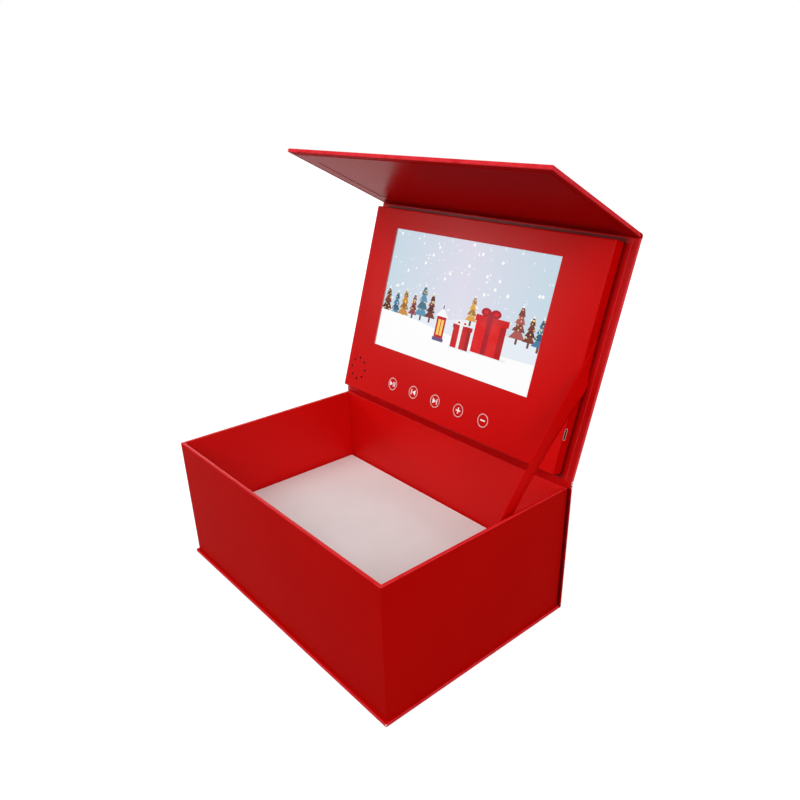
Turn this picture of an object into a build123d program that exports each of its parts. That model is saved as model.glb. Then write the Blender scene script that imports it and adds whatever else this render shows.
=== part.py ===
from build123d import *
import math
import os

os.makedirs("parts", exist_ok=True)

# A rigid book-style gift box with a video player in its lid. A deep tray stands on the
# base board of a wrapped case: the back board rises behind the tray, the lid board is
# hinged to it with paper, and a front flap is hinged to the lid's far edge. The player
# is a flat wrapped box glued inside the lid, and a ribbon holds the lid open.
#
# Millimetres. +X runs along the hinges, +Y points to the hinge side, +Z is up. The
# origin lies under the middle of the tray, on the underside of the base board.

# Board and paper
board = 2.0                 # greyboard in every wall and leaf
paper = 0.2                 # soft-touch paper glued to both sides of the board
wrapped = board + 2 * paper
turn_in = 15.0              # paper folded round an edge and glued down
edge_round = 0.5            # softened outer edges of a wrapped board
core_round = edge_round - paper

# Tray and case. The player's width and height, further down, give the tray's.
tray_height = 89.3
overhang = 1.8              # the leaves stand out past the tray's sides and front
rim_gap = 0.2               # from the tray's rim to the lining of the closed lid
lid_open = 107.3            # degrees from closed, where the ribbon is taut
flap_open = 98.6            # degrees between the insides of lid and flap
flap_lift = 0.6             # from the ground to the closed flap's free edge

# Raised floor of the tray
card = 1.0
platform_top = 35.4         # above the ground
platform_gap = 0.5
platform_fold = 2.5         # outer radius of its folded edges
platform_clip = 3.0         # cut off each corner so that the sides can fold

# Linings of lid and flap
lining_side = 4.0           # bare margin at the sides and the free edge
lining_hinge = 1.0          # and next to a hinge

# Display, a seven-inch panel: the size that the whole box follows
display_width = 164.9
display_height = 100.0
display_depth = 3.5
display_sheet = 0.4         # steel of its tray
display_glass = 0.9
display_fit = 0.3
bezel_side = 5.45           # hidden behind the window's edges
bezel_end = 6.3

# Player, a flat box round the display
key_band = 33.1             # from its lower edge to the display
top_band = 7.6
left_band = 21.45
right_band = 27.85
module_depth = 8.2
module_round = 0.8
panel = 1.2                 # front panel
back_panel = 1.0
frame_wall = 3.0

# Room round the player inside the tray when the lid is shut
module_gap = 0.6            # at the left and at the hinge
front_gap = 0.9
ribbon_room = 5.0           # at the right, where the ribbon folds away

# Keys, their board and switches
key_names = ("play_key", "previous_key", "next_key", "louder_key", "quieter_key")
key_pitch = 23.4
key_shift = 3.0             # the row's middle, left of the player's
key_rise = 15.1             # up from the player's lower edge
key_radius = 4.9
key_gap = 0.2
key_flange = 0.8
key_flange_radius = 6.0
key_travel = 0.4
key_play = 0.1              # left over when a key is fully pressed
plunger_radius = 1.4
plunger_gap = 0.3
plunger_depth = 1.0         # down its switch
circuit = 1.0               # thickness of the circuit boards
key_board_end = 16.2        # board past the last key at either end
board_margin = 2.3          # from a circuit board to the bay round it
switch_size = 6.0

# Loudspeaker
speaker_inset = 14.0        # from the player's left edge
speaker_rise = 16.6
speaker_radius = 10.0
speaker_depth = 3.8
speaker_ring = 0.6          # the basket's wall
speaker_sheet = 0.5         # and its bottom
speaker_magnet_radius = 5.0
speaker_magnet_depth = 0.9
cone_seat = 2.6             # the cone's rim, above the magnet's underside
cone_sheet = 0.2
cone_radius = 6.6
dome_radius = 4.0
dome_low = 1.9
roll_height = 0.9
sound_radius = 8.3          # of the ring of holes in front
sound_hole = 0.8
sound_holes = 8

# Charging port, a micro-USB socket
port_drop = 3.6             # its middle, down from the main board's upper edge
port_behind = 2.1           # and behind the player's front
port_width = 7.5
port_height = 2.5
port_wall = 0.3
port_length = 5.6
tongue_width = 4.2
tongue_height = 0.6

# Main circuit board, cell and sensing switch
main_board_height = 22.0
board_reach = 8.4           # the main board starts behind the display's end
board_top_gap = 0.5
board_hole = 1.0
board_hole_inset = 2.5
processor = 9.0
memory_width = 8.0
memory_height = 6.0
charger = 5.0
chip_spread = 6.0
chip_rise = 4.5
chip_depth = 1.0
flex = 0.3
flex_margin = 1.0
cell_width = 84.0
cell_height = 56.0
cell_margin = 3.0           # from the display's right end
cell_rise = 8.0             # above the display's lower edge
cell_slack = 0.2            # between the cell and the display's tray
reed_radius = 1.0
reed_length = 12.0
wire_radius = 0.5

# Closure magnets and the steel discs that they meet
magnet_x = 70.0
magnet_inset = 22.7         # from the flap's free edge
magnet_radius = 7.5
magnet_depth = 1.5
disc_radius = 8.0
disc_depth = 0.6
trigger_radius = 1.8

# Tissue tape that holds the player, inside the bare part of the lid's board
tape_margin = 4.0

# Ribbon
ribbon = 0.3
ribbon_width = 13.0
ribbon_cross = 57.0         # up the lid, where its middle passes the player's front edge
ribbon_slope = 26.2         # degrees from the lid, seen from the side
ribbon_flat = 12.0          # from there to where it leaves the player's side
ribbon_foot = 84.0          # and to the tray's rim
ribbon_twist = 12.0         # degrees at the rim, its front edge turned to the wall
ribbon_tail = 14.0          # glued down on the tray's inner wall
ribbon_clear = 2.8          # from that wall to the ribbon's middle at the rim
ribbon_drop = 12.0          # from the rim to where it is glued
ribbon_back = 8.0           # and this much nearer the front
ribbon_bow = 1.3            # out from the player's side, halfway down

# Worked out from the sizes above
module_width = left_band + display_width + right_band
module_height = key_band + display_height + top_band
tray_width = module_width + module_gap + ribbon_room + 2 * wrapped
tray_depth = module_height + module_gap + front_gap + 2 * wrapped
case_half = tray_width / 2 + overhang
tray_top = wrapped + tray_height
tray_floor = wrapped + paper + board
inner_width = tray_width - 2 * wrapped
inner_depth = tray_depth - 2 * wrapped
hinge_gap = rim_gap + paper + wrapped / 2
back_face = tray_depth / 2
flap_axis = tray_depth + wrapped / 2 + hinge_gap
flap_length = tray_top + hinge_gap - flap_lift
magnet_up = flap_length - magnet_inset
strip_half = case_half - edge_round

# Each leaf has a plane in the middle of its board: X along the hinge, Y away from the
# hinge that carries it, and Z towards the inside of the box.
lid_lean = math.radians(lid_open)
flap_lean = math.radians(lid_open + flap_open)
base_plane = Plane.XY.offset(wrapped / 2)
back_plane = Plane(origin=(0, back_face + wrapped / 2, 0), x_dir=(1, 0, 0), z_dir=(0, -1, 0))
lid_plane = Plane(
    origin=(0, back_face + wrapped / 2, tray_top + hinge_gap),
    x_dir=(1, 0, 0),
    z_dir=(0, -math.sin(lid_lean), -math.cos(lid_lean)),
)
flap_plane = Plane(
    origin=lid_plane.from_local_coords((0, flap_axis, 0)),
    x_dir=(1, 0, 0),
    z_dir=(0, math.sin(flap_lean), math.cos(flap_lean)),
)

# Heights above the lid's middle plane, from its lining to the player's front
lining_top = wrapped / 2 + paper
inside_back = lining_top + back_panel
module_front_n = lining_top + module_depth
inside_front = module_front_n - paper - panel
module_left = -inner_width / 2 + module_gap
module_right = module_left + module_width
module_x = module_left + module_width / 2
module_start = wrapped / 2 + wrapped + module_gap
module_u = module_start + module_height / 2
display_x = module_left + left_band + display_width / 2
display_right = display_x + display_width / 2
display_low = module_start + key_band
display_u = display_low + display_height / 2
display_back = inside_front - display_depth

# Bay for the circuit boards and the loudspeaker, below the display
bay_low = module_start + paper + frame_wall
bay_high = display_low - display_fit - frame_wall
bay_left = module_left + paper + frame_wall
bay_right = module_right - paper - frame_wall
key_x = module_x - key_shift
key_u = module_start + key_rise
key_row = [key_x + (i - 2) * key_pitch for i in range(5)]
key_board_low = bay_low + board_margin
main_board_high = bay_high - board_top_gap
main_board_left = display_right - board_reach
port_u = main_board_high - port_drop
port_n = module_front_n - port_behind
board_top = port_n - port_height / 2
speaker_x = module_left + speaker_inset
speaker_u = module_start + speaker_rise
reed_x = key_x - 1.5 * key_pitch
reed_u = key_board_low + 1.5 * reed_radius


# The wrapped boards


def leaf_block(plane, first, last, inset, radius, free_ends):
    # a leaf's outline, `inset` inside its paper, with soft sides and soft free ends
    along = Axis(plane.origin, plane.y_dir)
    through = Axis(plane.origin, plane.z_dir)
    with BuildPart() as block:
        with BuildSketch(plane.offset(inset - wrapped / 2)):
            with Locations((0, (first + last) / 2)):
                Rectangle(2 * (case_half - inset), last - first - 2 * inset)
        extrude(amount=wrapped - 2 * inset)
        soft = block.edges().filter_by(along)
        across = block.edges().filter_by(Axis.X).sort_by(along)
        corners = block.edges().filter_by(through).sort_by(along)
        if "first" in free_ends:
            soft += across[:2] + corners[:2]
        if "last" in free_ends:
            soft += across[-2:] + corners[-2:]
        fillet(soft, radius)
    return block.part


def leaf_core(plane, first, last, free_ends):
    # the greyboard
    return leaf_block(plane, first, last, paper, core_round, free_ends)


def leaf_wrap(plane, first, last, free_ends):
    # the paper: all of the outside, round the edges and a turn-in on the inside
    with BuildPart() as wrap:
        add(leaf_block(plane, first, last, 0, edge_round, free_ends))
        add(leaf_core(plane, first, last, free_ends), mode=Mode.SUBTRACT)
        with BuildSketch(plane.offset(board / 2)):
            with Locations((0, (first + last) / 2)):
                Rectangle(2 * (case_half - turn_in), last - first - 2 * turn_in)
        extrude(amount=paper, mode=Mode.SUBTRACT)
    return wrap.part


def leaf_lining(plane, first, last, near_margin, far_margin):
    # the inside paper lies over the turn-ins and steps down onto the bare board
    window_width_in = 2 * (case_half - turn_in)
    window_length_in = last - first - 2 * turn_in
    low = first + near_margin
    high = last - far_margin
    with BuildPart() as lining:
        with BuildSketch(plane.offset(wrapped / 2)):
            with Locations((0, (low + high) / 2)):
                Rectangle(2 * (case_half - lining_side), high - low)
        extrude(amount=paper)
        with BuildSketch(plane.offset(board / 2)):
            with Locations((0, (first + last) / 2)):
                Rectangle(window_width_in, window_length_in)
        extrude(amount=paper)
        with BuildSketch(plane.offset(wrapped / 2)):
            with Locations((0, (first + last) / 2)):
                Rectangle(window_width_in - 2 * paper, window_length_in - 2 * paper)
        extrude(amount=paper, mode=Mode.SUBTRACT)
    return lining.part


# Case: base and back

base_span = (-back_face - overhang, back_face)

with BuildPart() as base_board:
    add(leaf_core(base_plane, *base_span, ["first"]))
base_board.part.label = "base_board"
export_step(base_board.part, "parts/base_board.step")

with BuildPart() as base_wrap:
    add(leaf_wrap(base_plane, *base_span, ["first"]))
base_wrap.part.label = "base_wrap"
export_step(base_wrap.part, "parts/base_wrap.step")

back_span = (0, tray_top)

with BuildPart() as back_board:
    add(leaf_core(back_plane, *back_span, ["first"]))
back_board.part.label = "back_board"
export_step(back_board.part, "parts/back_board.step")

with BuildPart() as back_wrap:
    add(leaf_wrap(back_plane, *back_span, ["first"]))
back_wrap.part.label = "back_wrap"
export_step(back_wrap.part, "parts/back_wrap.step")


# Tray


def tray_block(inset, radius):
    # the tray's walls and floor, `inset` inside its paper
    with BuildPart() as block:
        with BuildSketch(Plane.XY.offset(wrapped + inset)):
            Rectangle(tray_width - 2 * inset, tray_depth - 2 * inset)
        extrude(amount=tray_height - 2 * inset)
        with BuildSketch(Plane.XY.offset(tray_floor)):
            Rectangle(inner_width + 2 * inset, inner_depth + 2 * inset)
        extrude(amount=tray_height, mode=Mode.SUBTRACT)
        corners = block.edges().filter_by(Axis.Z).sort_by_distance((0, 0, 0))[-4:]
        rim = block.faces().sort_by(Axis.Z)[-1].edges()
        fillet(corners + rim, radius)
    return block.part


disc_height = tray_top + hinge_gap - magnet_up
disc_plane = Plane(origin=(0, paper - back_face, disc_height), x_dir=(1, 0, 0), z_dir=(0, -1, 0))
trigger_plane = Plane(
    origin=(reed_x, back_face - paper, lid_plane.origin.Z - inside_back - circuit - reed_radius),
    x_dir=(-1, 0, 0),
    z_dir=(0, 1, 0),
)

with BuildPart() as tray_steel_discs:
    with BuildSketch(disc_plane):
        with Locations((-magnet_x, 0), (magnet_x, 0)):
            Circle(disc_radius)
    extrude(amount=-disc_depth)
tray_steel_discs.part.label = "tray_steel_discs"
export_step(tray_steel_discs.part, "parts/tray_steel_discs.step")

with BuildPart() as trigger_magnet:
    with BuildSketch(trigger_plane):
        Circle(trigger_radius)
    extrude(amount=-magnet_depth)
trigger_magnet.part.label = "trigger_magnet"
export_step(trigger_magnet.part, "parts/trigger_magnet.step")

with BuildPart() as tray_board:
    add(tray_block(paper, core_round))
    add(tray_steel_discs.part, mode=Mode.SUBTRACT)
    add(trigger_magnet.part, mode=Mode.SUBTRACT)
tray_board.part.label = "tray_board"
export_step(tray_board.part, "parts/tray_board.step")

with BuildPart() as tray_wrap:
    add(tray_block(0, edge_round))
    add(tray_block(paper, core_round), mode=Mode.SUBTRACT)
    with BuildSketch(Plane.XY.offset(wrapped)):
        Rectangle(tray_width - 2 * turn_in, tray_depth - 2 * turn_in)
    extrude(amount=paper, mode=Mode.SUBTRACT)
tray_wrap.part.label = "tray_wrap"
export_step(tray_wrap.part, "parts/tray_wrap.step")


def platform_block(inset):
    with BuildPart() as block:
        with BuildSketch(Plane.XY.offset(tray_floor)):
            side = 2 * (platform_gap + inset)
            Rectangle(inner_width - side, inner_depth - side)
        extrude(amount=platform_top - tray_floor - inset)
        fillet(block.faces().sort_by(Axis.Z)[-1].edges(), platform_fold - inset)
    return block.part


# A sheet of card folded down on all four sides stands on the tray's floor.
with BuildPart() as tray_platform:
    add(platform_block(0))
    add(platform_block(card), mode=Mode.SUBTRACT)
    with BuildSketch(Plane.XY.offset(tray_floor)):
        with GridLocations(inner_width - 2 * platform_gap, inner_depth - 2 * platform_gap, 2, 2):
            Rectangle(platform_clip * math.sqrt(2), platform_clip * math.sqrt(2), rotation=45)
    extrude(amount=platform_top, mode=Mode.SUBTRACT)
tray_platform.part.label = "tray_platform"
export_step(tray_platform.part, "parts/tray_platform.step")


# Lid and flap

lid_span = (hinge_gap, flap_axis - hinge_gap)
flap_span = (hinge_gap, flap_length)

with BuildPart() as lid_board:
    add(leaf_core(lid_plane, *lid_span, []))
lid_board.part.label = "lid_board"
export_step(lid_board.part, "parts/lid_board.step")

with BuildPart() as lid_wrap:
    add(leaf_wrap(lid_plane, *lid_span, []))
lid_wrap.part.label = "lid_wrap"
export_step(lid_wrap.part, "parts/lid_wrap.step")

with BuildPart() as lid_lining:
    add(leaf_lining(lid_plane, *lid_span, lining_hinge, lining_hinge))
lid_lining.part.label = "lid_lining"
export_step(lid_lining.part, "parts/lid_lining.step")

with BuildPart() as flap_magnets:
    with BuildSketch(flap_plane.offset(board / 2)):
        with Locations((-magnet_x, magnet_up), (magnet_x, magnet_up)):
            Circle(magnet_radius)
    extrude(amount=-magnet_depth)
flap_magnets.part.label = "flap_magnets"
export_step(flap_magnets.part, "parts/flap_magnets.step")

with BuildPart() as flap_board:
    add(leaf_core(flap_plane, *flap_span, ["last"]))
    add(flap_magnets.part, mode=Mode.SUBTRACT)
flap_board.part.label = "flap_board"
export_step(flap_board.part, "parts/flap_board.step")

with BuildPart() as flap_wrap:
    add(leaf_wrap(flap_plane, *flap_span, ["last"]))
flap_wrap.part.label = "flap_wrap"
export_step(flap_wrap.part, "parts/flap_wrap.step")

with BuildPart() as flap_lining:
    add(leaf_lining(flap_plane, *flap_span, lining_hinge, lining_side))
flap_lining.part.label = "flap_lining"
export_step(flap_lining.part, "parts/flap_lining.step")


# Paper hinges: the strips between two leaves, seen in section in the YZ plane


def in_section(plane, along, above):
    point = plane.from_local_coords((0, along, above))
    return (point.Y, point.Z)


outer = -wrapped / 2
outer_in = paper - wrapped / 2
inner = wrapped / 2
inner_in = wrapped / 2 - paper

# Inside the open lid the strip is drawn straight from the back board to the lid.
with BuildPart() as lid_hinge_lining:
    with BuildSketch(Plane.YZ):
        with BuildLine():
            Polyline(
                in_section(back_plane, tray_top, inner),
                in_section(lid_plane, hinge_gap, inner),
                in_section(lid_plane, hinge_gap, inner_in),
                in_section(back_plane, tray_top, inner_in),
                close=True,
            )
        make_face()
    extrude(amount=strip_half, both=True)
lid_hinge_lining.part.label = "lid_hinge_lining"
export_step(lid_hinge_lining.part, "parts/lid_hinge_lining.step")

# Outside, the slack is pressed into a groove between the two boards.
with BuildPart() as lid_hinge_cover:
    with BuildSketch(Plane.YZ):
        with BuildLine():
            ThreePointArc(
                in_section(back_plane, tray_top, outer),
                in_section(lid_plane, 0, -paper),
                in_section(lid_plane, hinge_gap, outer),
            )
            Line(in_section(lid_plane, hinge_gap, outer), in_section(lid_plane, hinge_gap, outer_in))
            ThreePointArc(
                in_section(lid_plane, hinge_gap, outer_in),
                in_section(lid_plane, 0, 0),
                in_section(back_plane, tray_top, outer_in),
            )
            Line(in_section(back_plane, tray_top, outer_in), in_section(back_plane, tray_top, outer))
        make_face()
    extrude(amount=strip_half, both=True)
lid_hinge_cover.part.label = "lid_hinge_cover"
export_step(lid_hinge_cover.part, "parts/lid_hinge_cover.step")

# Between lid and flap the inside strip folds into the gap, and the outside strip bends
# round the corner.
flap_fold = (flap_axis - 3 * paper, 2 * paper)
flap_fold_in = (flap_axis - 2 * paper, paper)
flap_corner = (flap_axis + 3 * paper, -3.4 * paper)
flap_corner_in = (flap_axis + 2.2 * paper, -2.6 * paper)

with BuildPart() as flap_hinge_lining:
    with BuildSketch(Plane.YZ):
        with BuildLine():
            Polyline(
                in_section(lid_plane, flap_axis - hinge_gap, inner),
                in_section(lid_plane, *flap_fold),
                in_section(flap_plane, hinge_gap, inner),
                in_section(flap_plane, hinge_gap, inner_in),
                in_section(lid_plane, *flap_fold_in),
                in_section(lid_plane, flap_axis - hinge_gap, inner_in),
                close=True,
            )
        make_face()
    extrude(amount=strip_half, both=True)
flap_hinge_lining.part.label = "flap_hinge_lining"
export_step(flap_hinge_lining.part, "parts/flap_hinge_lining.step")

with BuildPart() as flap_hinge_cover:
    with BuildSketch(Plane.YZ):
        with BuildLine():
            lid_end = in_section(lid_plane, flap_axis - hinge_gap, outer)
            lid_end_in = in_section(lid_plane, flap_axis - hinge_gap, outer_in)
            flap_end = in_section(flap_plane, hinge_gap, outer)
            flap_end_in = in_section(flap_plane, hinge_gap, outer_in)
            ThreePointArc(lid_end, in_section(lid_plane, *flap_corner), flap_end)
            Line(flap_end, flap_end_in)
            ThreePointArc(flap_end_in, in_section(lid_plane, *flap_corner_in), lid_end_in)
            Line(lid_end_in, lid_end)
        make_face()
    extrude(amount=strip_half, both=True)
flap_hinge_cover.part.label = "flap_hinge_cover"
export_step(flap_hinge_cover.part, "parts/flap_hinge_cover.step")


# Player: a back panel, a frame and a front panel in one paper cover


def module_block(inset):
    through = Axis(lid_plane.origin, lid_plane.z_dir)
    with BuildPart() as block:
        with BuildSketch(lid_plane.offset(lining_top)):
            with Locations((module_x, module_u)):
                Rectangle(module_width - 2 * inset, module_height - 2 * inset)
        extrude(amount=module_depth - inset)
        soft = block.edges().filter_by(through) + block.faces().sort_by(through)[-1].edges()
        fillet(soft, module_round - inset)
    return block.part


def on_lid(across, up, above=0):
    # a plane on the lid, parallel to it
    return Plane(
        origin=lid_plane.from_local_coords((across, up, above)),
        x_dir=lid_plane.x_dir,
        z_dir=lid_plane.z_dir,
    )


port_plane = Plane(
    origin=lid_plane.from_local_coords((module_right, port_u, port_n)),
    x_dir=lid_plane.y_dir,
    z_dir=(1, 0, 0),
)
# Everything that passes through the front: window, key holes and sound holes
with BuildPart() as front_openings:
    with BuildSketch(lid_plane.offset(inside_front)):
        with Locations((display_x, display_u)):
            Rectangle(display_width - 2 * bezel_side, display_height - 2 * bezel_end)
        with Locations(*[(x, key_u) for x in key_row]):
            Circle(key_radius + key_gap)
        with Locations((speaker_x, speaker_u)):
            with PolarLocations(sound_radius, sound_holes):
                Circle(sound_hole)
    extrude(amount=panel + paper)

# The socket's shell, solid, for the holes that it sits in
with BuildPart() as port_body:
    with BuildSketch(port_plane) as port_outline:
        RectangleRounded(port_width, port_height, port_height / 2 - port_wall)
    extrude(amount=-port_length)

tape_inset = turn_in + tape_margin

with BuildPart() as module_tape:
    with BuildSketch(lid_plane.offset(wrapped / 2)):
        with Locations((0, (lid_span[0] + lid_span[1]) / 2)):
            Rectangle(2 * (case_half - tape_inset), lid_span[1] - lid_span[0] - 2 * tape_inset)
    extrude(amount=paper)
module_tape.part.label = "module_tape"
export_step(module_tape.part, "parts/module_tape.step")

with BuildPart() as module_back:
    add(module_block(paper))
    split(bisect_by=lid_plane.offset(inside_back), keep=Keep.BOTTOM)
module_back.part.label = "module_back"
export_step(module_back.part, "parts/module_back.step")

cable_x = display_right - board_reach / 2

with BuildPart() as module_frame:
    add(module_block(paper))
    split(bisect_by=lid_plane.offset(inside_back), keep=Keep.TOP)
    split(bisect_by=lid_plane.offset(inside_front), keep=Keep.BOTTOM)
    with BuildSketch(lid_plane.offset(inside_back)):
        # recess for the display, with the cell behind it
        with Locations((display_x, display_u)):
            Rectangle(display_width + 2 * display_fit, display_height + 2 * display_fit)
        # bay for the circuit boards and the loudspeaker
        with Locations(((bay_left + bay_right) / 2, (bay_low + bay_high) / 2)):
            Rectangle(bay_right - bay_left, bay_high - bay_low)
        # way for the cables between the two
        with Locations((cable_x, (bay_high + display_low) / 2)):
            Rectangle(1.5 * board_reach, 3 * frame_wall)
    extrude(amount=module_depth, mode=Mode.SUBTRACT)
    add(port_body.part, mode=Mode.SUBTRACT)
module_frame.part.label = "module_frame"
export_step(module_frame.part, "parts/module_frame.step")

with BuildPart() as module_front:
    add(module_block(paper))
    split(bisect_by=lid_plane.offset(inside_front), keep=Keep.TOP)
    add(front_openings.part, mode=Mode.SUBTRACT)
    add(port_body.part, mode=Mode.SUBTRACT)
module_front.part.label = "module_front"
export_step(module_front.part, "parts/module_front.step")

with BuildPart() as module_wrap:
    add(module_block(0))
    add(module_block(paper), mode=Mode.SUBTRACT)
    add(front_openings.part, mode=Mode.SUBTRACT)
    add(port_body.part, mode=Mode.SUBTRACT)
module_wrap.part.label = "module_wrap"
export_step(module_wrap.part, "parts/module_wrap.step")

# Display: glass and light guide in a shallow steel tray
display_plane = on_lid(display_x, display_u)
sheet = 2 * display_sheet

with BuildPart() as display_tray:
    with BuildSketch(display_plane.offset(display_back)):
        RectangleRounded(display_width, display_height, 1)
    extrude(amount=display_depth)
    with BuildSketch(display_plane.offset(display_back + display_sheet)):
        Rectangle(display_width - sheet, display_height - sheet)
    extrude(amount=display_depth, mode=Mode.SUBTRACT)
display_tray.part.label = "display_tray"
export_step(display_tray.part, "parts/display_tray.step")

with BuildPart() as display_backlight:
    with BuildSketch(display_plane.offset(display_back + display_sheet)):
        Rectangle(display_width - sheet, display_height - sheet)
    extrude(amount=display_depth - display_sheet - display_glass)
display_backlight.part.label = "display_backlight"
export_step(display_backlight.part, "parts/display_backlight.step")

with BuildPart() as display_panel:
    with BuildSketch(display_plane.offset(inside_front - display_glass)):
        Rectangle(display_width - sheet, display_height - sheet)
    extrude(amount=display_glass)
display_panel.part.label = "display_panel"
export_step(display_panel.part, "parts/display_panel.step")

# Circuit boards
main_board_width = bay_right - main_board_left
main_board_plane = on_lid(
    (main_board_left + bay_right) / 2,
    main_board_high - main_board_height / 2,
    board_top,
)

with BuildPart() as main_board:
    with BuildSketch(main_board_plane):
        Rectangle(main_board_width, main_board_height)
        across = main_board_width - 2 * board_hole_inset
        with GridLocations(across, main_board_height - 2 * board_hole_inset, 2, 2):
            Circle(board_hole, mode=Mode.SUBTRACT)
    extrude(amount=-circuit)
main_board.part.label = "main_board"
export_step(main_board.part, "parts/main_board.step")

with BuildPart() as main_board_chips:
    with BuildSketch(main_board_plane.offset(-circuit)):
        with Locations((-chip_spread, 0)):
            Rectangle(processor, processor)
        with Locations((chip_spread, chip_rise)):
            Rectangle(memory_width, memory_height)
        with Locations((chip_spread, -chip_rise)):
            Rectangle(charger, charger)
    extrude(amount=-chip_depth)
main_board_chips.part.label = "main_board_chips"
export_step(main_board_chips.part, "parts/main_board_chips.step")

with BuildPart() as display_flex:
    with BuildSketch(on_lid(cable_x, (main_board_high + display_low) / 2, board_top - circuit)):
        Rectangle(board_reach - 2 * flex_margin, display_low - main_board_high)
    extrude(amount=flex)
display_flex.part.label = "display_flex"
export_step(display_flex.part, "parts/display_flex.step")

with BuildPart() as key_board:
    with BuildSketch(on_lid(key_x, (bay_low + bay_high) / 2, inside_back)):
        Rectangle(4 * key_pitch + 2 * key_board_end, bay_high - bay_low - 2 * board_margin)
    extrude(amount=circuit)
key_board.part.label = "key_board"
export_step(key_board.part, "parts/key_board.step")

# Keys: each cap has a flange behind the front panel and a plunger in its switch. The
# switch leaves room for the whole travel under the flange and under the plunger.
key_seat = inside_front - key_flange
switch_top = key_seat - key_travel - key_play
plunger_end = switch_top - plunger_depth

with BuildPart() as key_switches:
    with BuildSketch(lid_plane.offset(inside_back + circuit)):
        with Locations(*[(x, key_u) for x in key_row]):
            Rectangle(switch_size, switch_size)
    extrude(amount=switch_top - inside_back - circuit)
    with BuildSketch(lid_plane.offset(switch_top)):
        with Locations(*[(x, key_u) for x in key_row]):
            Circle(plunger_radius + plunger_gap)
    extrude(amount=-plunger_depth - key_travel - 2 * key_play, mode=Mode.SUBTRACT)
key_switches.part.label = "key_switches"
export_step(key_switches.part, "parts/key_switches.step")

for key_name, x in zip(key_names, key_row):
    through = Axis(lid_plane.origin, lid_plane.z_dir)
    with BuildPart() as key:
        with BuildSketch(on_lid(x, key_u, key_seat)):
            Circle(key_radius)
        extrude(amount=module_front_n - key_seat)
        chamfer(key.edges().sort_by(through)[-1], key_gap)
        with BuildSketch(on_lid(x, key_u, key_seat)):
            Circle(key_flange_radius)
        extrude(amount=key_flange)
        with BuildSketch(on_lid(x, key_u, key_seat)):
            Circle(plunger_radius)
        extrude(amount=plunger_end - key_seat)
    key.part.label = key_name
    export_step(key.part, f"parts/{key_name}.step")

# Loudspeaker
speaker_seat = inside_front - speaker_depth
speaker_plane = Plane(
    origin=lid_plane.from_local_coords((speaker_x, speaker_u, speaker_seat)),
    x_dir=lid_plane.x_dir,
    z_dir=-lid_plane.y_dir,
)
speaker_axis = Axis(speaker_plane.origin, lid_plane.z_dir)
cone_rim = speaker_radius - speaker_ring

with BuildPart() as speaker_basket:
    with BuildSketch(speaker_plane):
        with BuildLine():
            Polyline(
                (0, speaker_magnet_depth + speaker_sheet),
                (cone_radius, speaker_magnet_depth + speaker_sheet),
                (cone_rim, cone_seat),
                (cone_rim, speaker_depth),
                (speaker_radius, speaker_depth),
                (speaker_radius, cone_seat - speaker_sheet),
                (cone_radius + speaker_sheet, speaker_magnet_depth),
                (0, speaker_magnet_depth),
                close=True,
            )
        make_face()
    revolve(axis=speaker_axis)
speaker_basket.part.label = "speaker_basket"
export_step(speaker_basket.part, "parts/speaker_basket.step")

with BuildPart() as speaker_cone:
    with BuildSketch(speaker_plane):
        with BuildLine():
            Polyline(
                (0, cone_seat),
                (dome_radius, dome_low),
                (cone_radius, cone_seat + cone_sheet),
                ((cone_radius + cone_rim) / 2, cone_seat + roll_height),
                (cone_rim, cone_seat + cone_sheet),
                (cone_rim, cone_seat),
                (cone_radius, cone_seat),
                (dome_radius, dome_low - cone_sheet),
                (0, dome_low - cone_sheet),
                close=True,
            )
        make_face()
    revolve(axis=speaker_axis)
speaker_cone.part.label = "speaker_cone"
export_step(speaker_cone.part, "parts/speaker_cone.step")

with BuildPart() as speaker_magnet:
    with BuildSketch(on_lid(speaker_x, speaker_u, speaker_seat)):
        Circle(speaker_magnet_radius)
    extrude(amount=speaker_magnet_depth)
speaker_magnet.part.label = "speaker_magnet"
export_step(speaker_magnet.part, "parts/speaker_magnet.step")

# Charging port
with BuildPart() as port_shell:
    with BuildSketch(port_plane):
        RectangleRounded(port_width, port_height, port_height / 2 - port_wall)
    extrude(amount=-port_length)
    with BuildSketch(port_plane):
        hollow = port_height - 2 * port_wall
        RectangleRounded(port_width - 2 * port_wall, hollow, hollow / 2 - port_wall)
    extrude(amount=port_wall - port_length, mode=Mode.SUBTRACT)
port_shell.part.label = "port_shell"
export_step(port_shell.part, "parts/port_shell.step")

with BuildPart() as port_tongue:
    with BuildSketch(port_plane.offset(port_wall - port_length)):
        Rectangle(tongue_width, tongue_height)
    extrude(amount=port_length - 3 * port_wall)
port_tongue.part.label = "port_tongue"
export_step(port_tongue.part, "parts/port_tongue.step")

# Cell and sensing switch
cell_right = display_right - cell_margin
cell_low = display_low + cell_rise
cell_depth = display_back - inside_back - cell_slack

with BuildPart() as cell:
    with BuildSketch(on_lid(cell_right - cell_width / 2, cell_low + cell_height / 2, inside_back)):
        RectangleRounded(cell_width, cell_height, 2)
    extrude(amount=cell_depth)
cell.part.label = "cell"
export_step(cell.part, "parts/cell.step")

reed_plane = Plane(
    origin=lid_plane.from_local_coords((reed_x, reed_u, inside_back + circuit + reed_radius)),
    x_dir=lid_plane.y_dir,
    z_dir=(1, 0, 0),
)

with BuildPart() as reed_switch:
    with BuildSketch(reed_plane):
        Circle(reed_radius)
    extrude(amount=reed_length / 2, both=True)
reed_switch.part.label = "reed_switch"
export_step(reed_switch.part, "parts/reed_switch.step")

# Two leads run from the cell past the display and up to the main board.
lead_n = inside_back + cell_depth / 2
lead_end = main_board_high - 4 * wire_radius

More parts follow.
